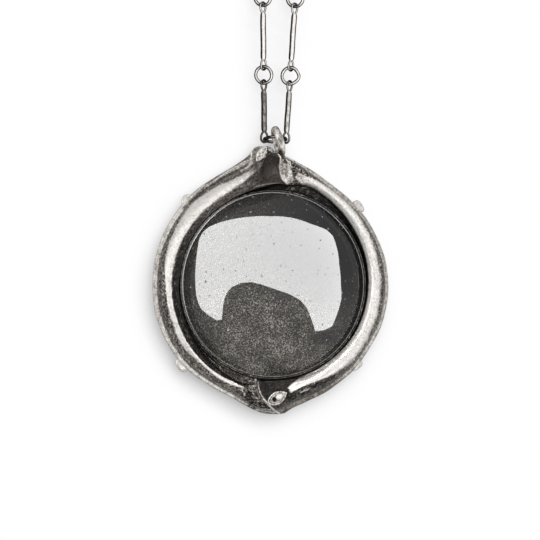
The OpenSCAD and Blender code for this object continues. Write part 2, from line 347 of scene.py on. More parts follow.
def smooth_at(table, column, x):
    turns, values = table[:, TURN], table[:, column]
    last = len(turns) - 1
    i = np.clip(np.searchsorted(turns, x, side="right") - 1, 0, last - 1)

    def slope(k):
        a, b = np.maximum(k - 1, 0), np.minimum(k + 1, last)
        return (values[b] - values[a]) / (turns[b] - turns[a])

    span = turns[i + 1] - turns[i]
    t = (x - turns[i]) / span
    return (
        values[i] * (1 + 2 * t) * (1 - t) ** 2
        + slope(i) * span * t * (1 - t) ** 2
        + values[i + 1] * t * t * (3 - 2 * t)
        - slope(i + 1) * span * t * t * (1 - t)
    )


def bulged(turn, r, upper):
    near = 1 - step(0, SEAM_REACH, np.minimum(turn, 180 - turn))
    top = upper == (turn > 90)
    seam_r, seam_turn, seam_fall = (np.where(top, a, b) for a, b in zip(UPPER_SEAM, LOWER_SEAM))
    return turn + near * (seam_turn - seam_fall * (r - seam_r) ** 2)


# Points up either side of the ridge, rings on the back and the radius of the last one.
SIDE_STEPS = 40
BACK_RINGS = 8
POLE_R = 0.6
BEZEL_ROUND = 0.06


def side(r0, h0, r1, h1, bulge, t):
    s, c = np.sin(np.pi / 2 * t), 1 - np.cos(np.pi / 2 * t)
    return np.stack([mix(r0, r1, mix(s, c, bulge)), mix(h0, h1, mix(c, s, bulge))], -1)


def line(a, b, count):
    """Points from a towards b, without b."""
    t = np.arange(count)[None, :, None] / count
    return a[:, None] * (1 - t) + b[:, None] * t


def profile(table, turn):
    """The section at each turn, and how far along a point is: -1 inner edge, 0 crest, 1 shoulder."""
    at = {c: smooth_at(table, c, turn) for c in range(1, 8)}
    col = {c: v[:, None] for c, v in at.items()}

    def chain(*corners):
        """Points along corners, each with its radius, its height and the number of points to the next."""
        ends = [np.stack(np.broadcast_arrays(r, h, turn)[:2], -1) for r, h, _ in corners]
        return np.concatenate([line(a, b, c[2]) for a, b, c in zip(ends, ends[1:], corners)], 1)

    wall = BEZEL_R + BEZEL_WALL
    bezel = chain(
        (BEZEL_R, PLATE_H, 2),
        (BEZEL_R, BEZEL_H - BEZEL_ROUND, 1),
        (BEZEL_R + BEZEL_ROUND, BEZEL_H, 2),
        (wall - BEZEL_ROUND, BEZEL_H, 1),
        (wall, BEZEL_H - BEZEL_ROUND, 2),
        (wall + BEZEL_TAPER, LEDGE_H, 4),
        (at[IN_R] - INNER_LEAN, at[IN_H] - INNER_DROP, 3),
        (at[IN_R], at[IN_H], 0),
    )
    t = np.linspace(0, 1, SIDE_STEPS + 1)
    up, down = t[None, :-1], t[None, ::-1][:, :-1]
    inner = side(col[IN_R], col[IN_H], col[CREST_R], col[CREST_H], col[ROUND], up)
    shoulder = col[OUT_R] - FLANK_TOP
    outer = side(shoulder, col[SHOULDER_H], col[CREST_R], col[CREST_H], FLANK_ROUND, down)
    out_r = at[OUT_R]
    flank = chain(
        (out_r - FLANK_TOP, at[SHOULDER_H], 9),
        (out_r - LIP_W, LIP_H + LIP_RISE, 4),
        (out_r - LIP_ROUND, LIP_H, 3),
        (out_r, LIP_H - LIP_ROUND, 3),
        (out_r, EDGE_ROUND, 3),
        (out_r - EDGE_ROUND, 0, BACK_RINGS),
        (POLE_R, 0, 0),
    )
    pole = np.tile([POLE_R, 0.0], (len(turn), 1, 1))
    outline = np.concatenate([bezel, inner, outer, flank, pole], 1)
    along = (np.arange(outline.shape[1]) - bezel.shape[1] - SIDE_STEPS) / SIDE_STEPS
    return outline, along


def softened(outline, first, rounds):
    """Rounds the corners of the outlines from column first on, as casting and wear do."""
    for _ in range(rounds):
        middle = (outline[:, first - 1 : -2] + 2 * outline[:, first:-1] + outline[:, first + 1 :]) / 4
        outline = np.concatenate([outline[:, :first], middle, outline[:, -1:]], 1)
    return outline


# Sections along a serpent, rows down a snout, columns on the bezel, and rounds of softening.
STATIONS = 330
CLIFF_STEPS = 5
BEZEL_COLUMNS = 9
SOFT_ROUNDS = 3


def station_turns():
    t = np.arange(STATIONS) / (STATIONS - 1)
    return (180 - MOUTH_GAP) * (t - CROWDING * np.sin(2 * np.pi * t) / (2 * np.pi))


def to_space(turn, r, depth):
    a = np.radians(turn)
    return np.stack([r * np.sin(a), -depth, r * np.cos(a)], -1)


# How each serpent is worn and lit, by turn. The levels are partly real wear and patina and partly
# painted light: a painted highlight on the bright band and the lip and painted shade on the inner
# side and the flank, set apart for the two serpents as the light falls on each. The bright band lies
# between two distances from the crest, in mm, outwards positive, and fades over that many mm at
# either edge. Then come the level of the band itself, of the side towards the stone, of the flank
# and of the lip.
RIGHT_WEAR_AND_LIGHT = [
    # turn, from, fade, to, fade, band, inner, flank, lip
    [0, -1.0, 0.3, -0.3, 0.4, 0.5, 0.3, 0.28, 0.6],
    [6, -1.6, 0.3, -0.2, 0.5, 0.72, 0.3, 0.26, 0.6],
    [12, -1.8, 0.3, 0.1, 0.6, 0.88, 0.35, 0.3, 0.62],
    [30, -1.55, 0.3, 0.4, 0.6, 0.94, 0.35, 0.3, 0.62],
    [45, -1.5, 0.3, 0.35, 0.7, 0.94, 0.35, 0.32, 0.6],
    [60, -1.5, 0.3, 0.1, 1.0, 0.92, 0.35, 0.32, 0.58],
    [90, -1.6, 0.4, 0.1, 1.1, 0.91, 0.35, 0.34, 0.64],
    [120, -1.55, 0.4, 0.7, 0.8, 0.92, 0.35, 0.44, 0.68],
    [140, -1.8, 0.4, 0.4, 0.9, 0.93, 0.3, 0.38, 0.54],
    [150, -1.6, 0.55, 0.0, 0.5, 0.93, 0.3, 0.18, 0.42],
    [160, -1.4, 0.45, -0.3, 0.25, 0.97, 0.2, 0.16, 0.38],
    [165, -0.95, 0.3, -0.2, 0.2, 1.0, 0.12, 0.14, 0.38],
    [166.5, -0.95, 0.2, -0.2, 0.2, 0.0, 0.11, 0.14, 0.38],
    [180, -0.95, 0.2, -0.2, 0.2, 0.0, 0.11, 0.14, 0.32],
]
LEFT_WEAR_AND_LIGHT = [
    [0, -0.1, 0.1, 0.1, 0.1, 0.1, 0.15, 0.24, 0.5],
    [7, -0.45, 0.15, -0.15, 0.15, 0.15, 0.14, 0.28, 0.55],
    [9.5, -0.45, 0.15, -0.12, 0.2, 0.7, 0.12, 0.32, 0.62],
    [14, -0.38, 0.15, -0.05, 0.2, 0.92, 0.1, 0.36, 0.66],
    [26, -0.15, 0.15, 0.2, 0.25, 0.95, 0.08, 0.38, 0.72],
    [44, -0.05, 0.2, 0.25, 0.3, 0.92, 0.07, 0.38, 0.72],
    [58, 0.2, 0.3, 0.9, 0.5, 0.92, 0.06, 0.37, 0.72],
    [70, 0.2, 0.3, 0.75, 0.4, 0.94, 0.06, 0.33, 0.7],
    [90, 0.3, 0.25, 1.0, 0.3, 0.9, 0.06, 0.34, 0.68],
    [105, 0.3, 0.35, 1.6, 0.3, 0.89, 0.08, 0.32, 0.68],
    [120, 0.3, 0.5, 1.75, 0.35, 0.9, 0.14, 0.38, 0.74],
    [135, 0.3, 0.7, 1.95, 0.4, 1.0, 0.24, 0.38, 0.74],
    [148, 0.2, 1.0, 1.4, 0.5, 1.0, 0.34, 0.4, 0.74],
    [156, 0.2, 0.9, 0.8, 0.5, 0.88, 0.34, 0.38, 0.66],
    [160, 0.2, 0.6, 0.75, 0.4, 0.84, 0.28, 0.38, 0.56],
    [163, 0.2, 0.5, 0.7, 0.4, 0.5, 0.22, 0.38, 0.54],
    [166, 0.2, 0.5, 0.7, 0.4, 0.0, 0.19, 0.36, 0.5],
    [172, 0.2, 0.5, 0.7, 0.4, 0.0, 0.17, 0.3, 0.46],
    [180, 0.2, 0.5, 0.7, 0.4, 0.0, 0.17, 0.24, 0.4],
]
# Wear and mottle that stay the same all along a serpent.
BACK_WEAR, WALL_WEAR, BEZEL_WEAR = 0.5, 0.02, 0.24
INNER_MOTTLE, FLANK_MOTTLE, BAND_MOTTLE, LIP_MOTTLE, FACET_MOTTLE = 0.6, 1.1, 0.45, 0.4, 0.25
STREAK, TAIL_STREAK, SMOOTH_STREAK = 0.4, 1.5, 0.1
# The thin bright line along the lip is partly wear and partly a painted highlight.
LIP_LINE_W, LIP_LINE_WEAR_AND_LIGHT, LIP_LINE_SHARE = 0.1, 0.85, 0.6
LIP_FADE = (0.05, -0.1)
# Half width of the soft change at the crest, and the level of wear and painted light under which a band
# fades out.
AT_CREST = 0.1
BAND_LEAST = 0.3
# Depths of the bezel's rim under its top, and of the back.
RIM_DEPTH = 0.1
BACK_DEPTH = 0.02
# Light that reaches the wall inside the ridge low in the ring: how much, and between which heights.
WALL_LIGHT, WALL_LIGHT_Z = 0.2, (2, -10)
# Turns between which the head's flat facet begins, and the brushed tail ends.
FACET_TURNS = (160, 168)
TAIL_TURNS = (4, 20)


def at_rows(rows, turn):
    rows = np.array(rows, float)
    return [np.interp(turn, rows[:, 0], rows[:, c])[:, None] for c in range(1, rows.shape[1])]


def serpent_wear_and_light(rows, turns, along, r, depth, crest_r, out_r):
    """Wear and painted light, and mottle, of every point of one serpent, and how far it is in the bright
    band.
    """
    low, fade_in, high, fade_out, level, inner, flank, lip = at_rows(rows, turns)
    away = r - crest_r
    band = step(low - fade_in, low, away) * (1 - step(high, high + fade_out, away))
    band = band * (along > -1)
    on_flank = step(-AT_CREST, AT_CREST, along)
    wear = mix(mix(inner, flank, on_flank), level, band * step(0.0, BAND_LEAST, level))
    mottle = mix(mix(INNER_MOTTLE, FLANK_MOTTLE, on_flank), BAND_MOTTLE, band)
    from_edge = out_r - r
    outside = along > 0.5
    on_lip = step(LIP_W + LIP_FADE[0], LIP_W + LIP_FADE[1], from_edge) * outside
    line = np.exp(-(((from_edge - LIP_W) / LIP_LINE_W) ** 2)) * outside
    wear = mix(mix(wear, lip, on_lip), LIP_LINE_WEAR_AND_LIGHT, LIP_LINE_SHARE * line)
    mottle = mix(mottle, LIP_MOTTLE, on_lip)
    bezel = (np.arange(r.shape[1]) < BEZEL_COLUMNS - 2) & (depth > BEZEL_H - RIM_DEPTH)
    wear = np.where(along < -1, np.where(bezel, BEZEL_WEAR, WALL_WEAR), wear)
    wear = np.where(depth < BACK_DEPTH, BACK_WEAR, wear)
    return wear, mottle, band


def frame_grid():
    """Every point of the two serpents, with its wear and painted light, mottle and streaks."""
    turns = station_turns()
    blocks, wear_and_light_grids, mottles, streaks = [], [], [], []
    for upper in (False, True):
        table = LEFT_SERPENT if upper else RIGHT_SERPENT
        outline, along = profile(table, turns)
        outline = softened(outline, BEZEL_COLUMNS, SOFT_ROUNDS)
        r, depth = outline[..., 0], outline[..., 1]
        turn = turns[:, None] + 0 * r
        crest_r = smooth_at(table, CREST_R, turns)[:, None]
        out_r = r[:, along > 1].max(1)[:, None]
        ring_turn = (180 if upper else 0) + bulged(turn, np.maximum(r, BEZEL_R), upper)
        blocks.append(to_space(ring_turn, r, depth))
        rows = LEFT_WEAR_AND_LIGHT if upper else RIGHT_WEAR_AND_LIGHT
        wear, mottle, band = serpent_wear_and_light(rows, turns, along, r, depth, crest_r, out_r)
        wall = (along < -1) * (depth < BEZEL_H - RIM_DEPTH)
        wear_and_light_grids.append(wear + WALL_LIGHT * step(*WALL_LIGHT_Z, blocks[-1][..., 2]) * wall)
        facet = step(*FACET_TURNS, turn) * (along < AT_CREST)
        tail = 1 - step(*TAIL_TURNS, turn)
        mottles.append(mix(mottle, FACET_MOTTLE, facet) * (1 + 0.5 * tail))
        smooth = np.maximum(0.6 * band, facet)
        streaks.append(mix(mix(STREAK, TAIL_STREAK, tail), SMOOTH_STREAK, smooth))
    return blocks, wear_and_light_grids, mottles, streaks


def with_cliffs(blocks):
    """Joins the two serpents' arrays in a ring, with a few rows down each snout."""
    s = (np.arange(1, CLIFF_STEPS + 1) / (CLIFF_STEPS + 1))[:, None]
    if blocks[0].ndim == 3:
        s = s[..., None]
    joined = []
    for a, b in ((0, 1), (1, 0)):
        joined += [blocks[a], mix(blocks[a][-1][None], blocks[b][0][None], s)]
    return np.concatenate(joined)


def grid_normals(points):
    along = np.roll(points, -1, 0) - np.roll(points, 1, 0)
    across = np.gradient(points, axis=1)
    normals = np.cross(across, along)
    length = np.linalg.norm(normals, axis=-1, keepdims=True)
    normals = normals / np.maximum(length, 1e-9)
    if normals[len(points) // 4, points.shape[1] // 2, 1] > 0:
        normals = -normals
    return normals


def from_path(points, path):
    """Distance of each point from the path, seen from the front."""
    x, z = points[..., 0], points[..., 2]
    best = np.full(x.shape, np.inf)
    for (ax, az), (bx, bz) in zip(path, path[1:]):
        dx, dz = bx - ax, bz - az
        t = np.clip(((x - ax) * dx + (z - az) * dz) / (dx * dx + dz * dz), 0, 1)
        best = np.minimum(best, np.hypot(x - ax - t * dx, z - az - t * dz))
    return best


def within(points, outline, soft):
    """1 inside the closed outline, seen from the front, and 0 outside, with a soft edge."""
    x, z = points[..., 0], points[..., 2]
    closed = outline + outline[:1]
    odd = np.zeros(x.shape, bool)
    for (ax, az), (bx, bz) in zip(closed, closed[1:]):
        if az != bz:
            crossing = ax + (z - az) * (bx - ax) / (bz - az)
            odd ^= ((az > z) != (bz > z)) & (x < crossing)
    distance = from_path(points, closed)
    return step(-soft, soft, np.where(odd, distance, -distance))


# Filled forms worked into the surface, seen from the front: outline in mm, soft edge, height, level of
# wear and painted light, and mottle.
LEAF = [
    (0.99, 23.65), (0.93, 22.3), (1.26, 20.9), (1.7, 19.86), (2.6, 19.04), (3.63, 19.3),
    (3.8, 20.4), (3.4, 21.75), (3.2, 23.3), (2.3, 23.9),
]
LID = [(-2.3, 26.7), (-0.6, 26.7), (0.2, 25.7), (-0.2, 25.0), (-1.3, 25.2), (-2.2, 24.9)]
CHEEK = [(-9.5, 19.2), (-6.8, 20.6), (-4.6, 22.0), (-5.2, 22.6), (-8.0, 21.3), (-10.5, 19.9)]
PATCHES = [
    (LEAF, 0.12, 0.1, 0.66, 0.8),
    ([(1.6, 23.0), (1.7, 23.8), (2.3, 23.7), (2.3, 23.0)], 0.15, -0.08, 0.15, 0.8),
    # A shallow hollow, dark with patina and a painted shadow.
    ([(3.5, 20.4), (3.4, 23.0), (4.3, 22.7), (4.55, 20.9)], 0.3, -0.12, 0.26, 1.4),
    (LID, 0.25, 0.04, 0.74, 0.8),
    # The upper head's facet, darkened with patina and a painted dark reflection.
    ([(-2.2, 21.9), (0.4, 22.6), (0.9, 20.7), (-1.6, 20.2)], 0.7, 0.0, 0.25, 0.2),
    (CHEEK, 0.25, 0.0, 0.42, 0.7),
    ([(-5.5, -19.6), (-3.2, -18.2), (-3.1, -22.0), (-1.9, -23.6), (-4.4, -23.6)], 0.3, 0.0, 0.17, 1.3),
    ([(-4.7, -18.3), (-3.1, -17.9), (-2.8, -21.0), (-3.6, -21.4), (-4.4, -20.2)], 0.35, 0.0, 0.4, 1.0),
]
# Lines worked into the surface, seen from the front: path in mm, width, height, level of wear and painted
# light there, share. The bright lines are partly wear and partly painted highlights along ridges and
# edges.
MARKS = [
    # Rim of the leaf
    ([(0.95, 23.9), (0.93, 22.3), (1.26, 20.9), (1.7, 19.86), (2.6, 19.04)], 0.13, 0.08, 0.98, 1.0),
    ([(3.2, 23.3), (3.3, 21.75), (3.35, 20.2)], 0.13, 0.05, 0.9, 0.9),
    # Lip over the upper head
    ([(-3.83, 25.95), (-1.9, 26.4), (-0.8, 26.1)], 0.16, 0.06, 0.75, 0.8),
    ([(-0.8, 26.1), (0.03, 25.4), (0.97, 24.05)], 0.14, 0.1, 0.98, 1.0),
    # Inner edge of the upper head, a painted highlight line
    ([(-3.9, 18.5), (-1.95, 19.0), (0.0, 19.2), (1.35, 19.15), (2.6, 19.0)], 0.1, 0.02, 0.72, 0.7),
    # Line left of the upper eye, on to the end of the band
    ([(-3.75, 25.9), (-3.95, 23.6), (-4.3, 23.0), (-5.24, 22.2), (-6.4, 21.6)], 0.15, 0.12, 1.0, 1.0),
    # Ridges and grooves that run into the upper eye
    ([(-11.2, 19.5), (-7.75, 21.95), (-5.05, 23.3), (-3.9, 23.85)], 0.2, 0.08, 0.76, 0.8),
    ([(-17.0, 14.5), (-12.4, 19.1), (-7.8, 22.5), (-4.1, 24.4)], 0.18, -0.08, 0.12, 0.55),
    ([(-15.1, 16.1), (-12.6, 18.3), (-10.0, 19.9), (-5.8, 22.1)], 0.18, -0.06, 0.12, 0.6),
    # Edge of the upper tail
    ([(1.9, 24.6), (4.3, 23.6), (6.9, 21.5)], 0.16, 0.03, 0.8, 0.8),
    # Seam of the lower head
    ([(-3.25, -18.2), (-3.1, -19.7), (-2.75, -20.8), (-2.2, -21.75)], 0.22, 0.09, 0.74, 0.9),
    ([(-2.2, -21.75), (-1.3, -22.75), (0.0, -23.75), (1.5, -24.55)], 0.16, 0.12, 0.97, 1.0),
    ([(-4.0, -20.7), (-3.0, -21.8)], 0.13, 0.06, 0.7, 0.8),
    ([(2.1, -20.9), (2.5, -19.9)], 0.12, -0.08, 0.03, 0.9),
    # Nicks on the lower snout's flank, painted bright as highlights
    ([(4.75, -20.5), (5.5, -20.1)], 0.12, 0.02, 0.9, 0.9),
    ([(5.7, -20.2), (6.2, -19.8)], 0.12, 0.02, 0.9, 0.9),
]
# Where the surface is worked: from this far outside the bezel, and in front of this depth.
WORKED_FROM = 0.3
WORKED_DEPTH = 0.3
# How far a surface has to face the front to take a patch, and to take a line.
PATCH_FACING = (0.0, 0.35)
MARK_FACING = (-0.1, 0.1)
# Uneven casting: noise seed, wavelength and height. Hammer marks and pits grow with the mottle.
WAVES, HAMMER, PITS = (3, 7.0, 0.05), (5, 1.3, 0.018), (7, 0.55, 0.01)


def worked_surface(points, wear, mottle):
    """The points with the casting's unevenness, the patches and the marks, and their wear and painted
    light, and mottle.
    """
    normals = grid_normals(points)
    r = np.hypot(points[..., 0], points[..., 2])
    worked = (r > BEZEL_R + BEZEL_WALL + WORKED_FROM) * (points[..., 1] < -WORKED_DEPTH)
    front = step(*PATCH_FACING, -normals[..., 1]) * worked
    in_view = step(*MARK_FACING, -normals[..., 1]) * worked
    rough = (height * Noise(seed, length)(points) for seed, length, height in (WAVES, HAMMER, PITS))
    wave, hammer, pits = rough
    lift = worked * (wave + (hammer + pits) * mottle)
    for outline, soft, height, level, spots in PATCHES:
        share = within(points, outline, soft) * front
        lift = lift + height * share
        wear = mix(wear, level, share)
        mottle = mix(mottle, spots, share)
    for path, width, height, level, most in MARKS:
        share = np.exp(-((from_path(points, path) / width) ** 2)) * in_view
        lift = lift + height * share
        wear = mix(wear, level, share * most)
    return points + normals * lift[..., None], wear, mottle


def serpent_piece(material):
    blocks, wear_and_light_grids, mottles, streaks = frame_grid()
    streak = with_cliffs(streaks)
    points, wear, mottle = worked_surface(with_cliffs(blocks), with_cliffs(wear_and_light_grids), with_cliffs(mottles))
    rows, columns = points.shape[:2]
    arc = np.cumsum(np.linalg.norm(np.diff(points, axis=0, prepend=points[:1]), axis=-1), 0)
    across = np.cumsum(np.linalg.norm(np.diff(points, axis=1, prepend=points[:, :1]), axis=-1), 1)
    middle = arc[:, columns // 2][:, None] + 0 * arc
    flow = np.stack([middle, across, 0 * arc], -1)
    faces = grid_faces(rows, columns, True, False)
    # Two more points close the plate under the stone and the back.
    n = rows * columns
    every = np.concatenate([points.reshape(-1, 3), [[0, -PLATE_H, 0], [0, 0, 0]]])
    for i in range(rows):
        j = (i + 1) % rows
        faces.append((n, j * columns, i * columns))
        faces.append((n + 1, i * columns + columns - 1, j * columns + columns - 1))
    shape = Shape()
    shape.add(
        every,
        faces,
        wear=np.append(wear.ravel(), [0, BACK_WEAR]),
        mottle=np.append(mottle.ravel(), [1, 1]),
        streak=np.append(streak.ravel(), [0, 0]),
        flow=np.concatenate([flow.reshape(-1, 3), np.zeros((2, 3))]),
    )
    return shape.build("serpents", PENDANT, material, "pendant", ["serpent_frame"])


# How far each bead sits further in than in the CAD, in mm, and its size along the radius.
BEAD_SHIFTS = (0.5, 0.45, 0.0, 0.35)
BEAD_SQUASH = (0.72, 0.78, 0.9, 0.8)
BEAD_WIDTH = 1.2
# Where the eyes lie: x, z, depth and tilt in degrees.
UPPER_EYE = (-2.85, 24.7, 6.3, 54)
UPPER_LUMP = (-1.05, 25.45, 5.7, -35)
LOWER_EYE = (0.25, -21.45, 6.15, 29)


def almond(length, width, blunt):
    """Outline of an almond in the x and z plane. Its left end is round if it is blunt."""
    s = full_turn(48)
    c = np.abs(np.cos(s))
    pointed = (1 - c**1.6) ** 0.9
    height = np.where((np.cos(s) < 0) & blunt, np.sqrt(np.maximum(0, 1 - c**2)), pointed)
    return np.stack([np.cos(s) * length / 2, 0 * s, np.sign(np.sin(s)) * height * width / 2], -1)


def eye_rim(shape, outline, depth, rim_r):
    shape.add(*swept(outline + (0, depth, 0), rim_r, True, 12), wear=0.8, mottle=1.2)


def eye_floor(shape, outline, rise, wear, mottle):
    """A cup or a low mound that fills the outline."""
    levels = np.linspace(1, 0.02, 12)
    floor = np.stack([outline * (k, 1, k) + (0, -0.18 - rise * (1 - k**2), 0) for k in levels])
    cup = np.concatenate([(outline + (0, 0.5, 0))[None], floor])
    faces = [f[::-1] for f in grid_faces(len(cup), len(outline), False, True)]
    faces.append(tuple(range(len(outline))))
    faces.append(tuple(range((len(cup) - 1) * len(outline), len(cup) * len(outline)))[::-1])
    shape.add(cup.reshape(-1, 3), faces, wear=wear, mottle=mottle)


def ball(radius, squash, rows=17, sides=28):
    t = np.linspace(-math.pi / 2, math.pi / 2, rows)
    points, faces = lathe(np.stack([np.cos(t) * radius, np.sin(t) * radius], -1), sides)
    return points * squash, faces


def eye_place(x, z, depth, tilt):
    return PENDANT @ moved(x, -depth, z) @ turn_about("Y", -tilt)


def upper_eye_piece(material):
    """A closed almond, and a lump beside it."""
    shape = Shape()
    eye_floor(shape, almond(3.0, 1.5, False), 0.24, 0.66, 1.0)
    eye_rim(shape, almond(3.1, 1.55, False), -0.12, 0.11)
    eye = eye_place(*UPPER_EYE)
    lump, faces = ball(1.0, (1.15, 0.5, 0.5))
    shape.add(placed(lump, eye.inverted() @ eye_place(*UPPER_LUMP)), faces, wear=0.52, mottle=1.0)
    return shape.build("upper_eye", eye, material, "pendant")


def lower_eye_piece(material):
    """An open eye with a round left end, two rims and a bead in it."""
    shape = Shape()
    outer = almond(3.8, 2.1, True)
    eye_rim(shape, outer, -0.2, 0.14)
    eye_floor(shape, outer, -0.12, 0.5, 0.6)
    inner = almond(2.9, 1.4, True) + (-0.05, 0, 0)
    eye_rim(shape, inner, -0.24, 0.08)
    points, faces = ball(0.6, (1.25, 0.9, 1.0))
    shape.add(points + (0.35, -0.24, 0), faces, wear=0.96, mottle=0.2)
    pit, pit_faces = ball(0.4, (0.85, 0.3, 1.2))
    shape.add(pit + (-0.72, -0.2, 0.05), pit_faces, wear=0.0, mottle=0.2)
    return shape.build("lower_eye", eye_place(*LOWER_EYE), material, "pendant")


def beads_piece(material):
    shape = Shape()
    whole, faces = ball(BEAD_R, 1.0, 15, 32)
    lumps = Noise(11, 1.6)
    for i, turn in enumerate(BEAD_TURNS):
        squash = (BEAD_WIDTH, BEAD_FLAT, BEAD_SQUASH[i])
        bumpy = whole * (1 + 0.08 * lumps(whole + 9 * i))[:, None] * squash
        place = turn_about("Y", turn) @ moved(0, -BEAD_R * BEAD_FLAT, BEAD_PLACE_R - BEAD_SHIFTS[i])
        shape.add(placed(bumpy, place), faces, wear=0.8, mottle=0.3)
    return shape.build("beads", PENDANT, material, "pendant")


# Points round the bail's wire, how lumpy and pitted it is, and its level at the foot and the top,
# which lie at these heights: the bail is darker towards the top.
BAIL_SIDES = 28
BAIL_LUMPS, BAIL_PITS = 0.04, 0.015
BAIL_LEVELS, BAIL_LEVEL_Z = (0.78, 0.56), (1.5, 5.5)


def bail_piece(material):
    lean = math.radians(BAIL_LEAN)
    reach = BAIL_R + BAIL_WIRE_R
    place = moved(FOOT_X - reach * math.sin(lean), -BAIL_DEPTH, FOOT_Z + reach * math.cos(lean))
    place = place @ turn_about("Y", 90 - BAIL_LEAN)
    s = full_turn(96)
    path = np.stack([BAIL_R * np.cos(s), BAIL_R * np.sin(s), 0 * s], -1)
    points, faces = swept(path, BAIL_WIRE_R, True, BAIL_SIDES, normal=(0, 0, 1))
    centre = np.repeat(path, BAIL_SIDES, 0)
    lumps, pits = Noise(13, 1.4), Noise(17, 0.45)
    thick = 1 + BAIL_LUMPS * lumps(points) + BAIL_PITS * pits(points)
    laid = placed(centre + (points - centre) * thick[:, None], place)
    wear = mix(*BAIL_LEVELS, step(*BAIL_LEVEL_Z, laid[:, 2] - FOOT_Z)) + 0.1 * lumps(points + 5)
    shape = Shape()
    shape.add(laid, faces, wear=wear, mottle=0.6)
    blob, blob_faces = ball(1.0, (1.02, 1.02, 1.35), 17, 32)
    blob = blob * (1 + 0.06 * lumps(blob * 1.3))[:, None] + (FOOT_X, -BAIL_DEPTH + 0.7, FOOT_Z - 0.95)
    shape.add(blob, blob_faces, wear=0.35, mottle=1.0)
    return shape.build("bail", PENDANT, material, "pendant")


# How far in from the girdle the dome starts.
DOME_EDGE = 0.15


def stone_piece(material):
    dome_start = STONE_R - DOME_EDGE
    drop = math.sqrt(DOME_R**2 - dome_start**2)
    arc = np.linspace(math.asin(dome_start / DOME_R), 0, 90)
    dome = [[DOME_R * math.sin(a), GIRDLE_H - drop + DOME_R * math.cos(a)] for a in arc]
    low = [[0, 0], [6, 0], [12, 0], [STONE_R - 0.2, 0], [STONE_R - 0.05, 0.06], [STONE_R, 0.2]]
    low += [[STONE_R, GIRDLE_H * k / 6] for k in range(1, 6)]
    low += [[STONE_R, GIRDLE_H - 0.1], [STONE_R - 0.04, GIRDLE_H - 0.03]]
    points, faces = lathe(low + dome, 240)
    shape = Shape()
    shape.add(placed(points, turn_about("X", 90) @ moved(0, 0, PLATE_H + STONE_BED)), faces)
    return shape.build("dome", PENDANT, material, "pendant", ["stone"])


# A wire's level at its sides and on its front and back, as shares, and how far a surface has to face
# the front for either: partly wear and patina, partly a painted highlight down the front and back and
# painted shade at the sides.
WIRE_SIDES, WIRE_FRONT = 0.0, 1.28
WIRE_FACING = (0.74, 0.96)
# Points round a wire, and how much thicker links and rods look than in the CAD.
WIRE_POINTS = 14
LINK_FULL = 1.12
ROD_FULL = 1.06


def add_wire(shape, place, path, tube, wear, mottle=0.5):
    """Adds a tube round a path that is lighter on its front and back and darker at its sides, partly from
    wear and patina and partly as a painted highlight and painted shade.
    """
    points, faces = tube
    laid = placed(points, place)
    away = laid - placed(np.repeat(path, len(points) // len(path), 0), place)
    facing = np.abs(away[:, 1]) / np.linalg.norm(away, axis=1)
    wear = wear * mix(WIRE_SIDES, WIRE_FRONT, step(*WIRE_FACING, facing))
    shape.add(laid, faces, wear=wear, mottle=mottle, flow=points)


def link_ring(shape, place, radius, wire_r, seed, wear, corner=(0.0, 0.0)):
    """A round link, a little out of round. corner: how pointed it is where it was closed, and where."""
    pointed, at = corner
    draw = np.random.RandomState(seed)
    s = full_turn(72)
    oval = 1 + draw.uniform(-0.02, 0.02) * np.cos(2 * s + draw.uniform(0, 6))
    away = (s - math.radians(at) + math.pi) % (2 * math.pi) - math.pi
    peak, dents = np.exp(-((away / 0.35) ** 2)), np.exp(-(((abs(away) - 0.9) / 0.5) ** 2))
    oval = oval + pointed * (peak - 0.35 * dents)
    path = np.stack([radius * oval * np.cos(s), radius * oval * np.sin(s), 0 * s], -1)
    points, faces = swept(path, wire_r, True, WIRE_POINTS, normal=(0, 0, 1))
    centre = np.repeat(path, WIRE_POINTS, 0)
    points = centre + (points - centre) * (1 + 0.04 * Noise(seed, 1.2)(points))[:, None]
    add_wire(shape, place, path, (points, faces), wear)


# Radius of the eyes' wire, in the CAD and here, where it is flattened along the bar's thickness.
EYE_CAD_R = 0.17
EYE_WIRE_R = 0.21
EYE_FLAT = 0.9
# An eye's width round the held wire and at the shaft, as shares.
EYE_WIDTHS = (1.12, 0.72)
# How far a shaft reaches into its eyes.
SHAFT_SINK = 0.15


def bar_eye(shape, place, held_r, wear):
    """Wire loop at the end of a bar, round a held wire at the origin. It narrows towards the shaft."""
    bottom = -held_r - EYE_SLACK - EYE_CAD_R
    top = bottom + 2 * EYE_HALF_W + EYE_STRAIGHT
    s = full_turn(56)
    height = (1 - np.cos(s)) / 2
    width = EYE_HALF_W * np.sin(s) * mix(*EYE_WIDTHS, height)
    path = np.stack([width, 0 * s, mix(bottom, top, height)], -1)
    add_wire(shape, place, path, swept(path, EYE_WIRE_R, True, WIRE_POINTS, EYE_FLAT), wear)


def shaft(shape, place, foot, top, seed, wear):
    """The bar's rod, narrower at both ends and a little uneven."""
    draw = np.random.RandomState(seed)
    heights = np.linspace(foot, top, 40)
    ends = np.minimum(heights - foot, top - heights)
    radii = ROD_FULL * SHAFT_R * mix(0.62, 1.0, np.clip(ends / 0.55, 0, 1) ** 0.5)
    radii = radii * (1 + 0.012 * np.sin(heights * 2.1 + draw.uniform(0, 6)))
    path = np.stack([0.02 * np.sin(heights + draw.uniform(0, 6)), 0 * heights, heights], -1)
    add_wire(shape, place, path, swept(path, radii, False, 32), wear, 0.6)


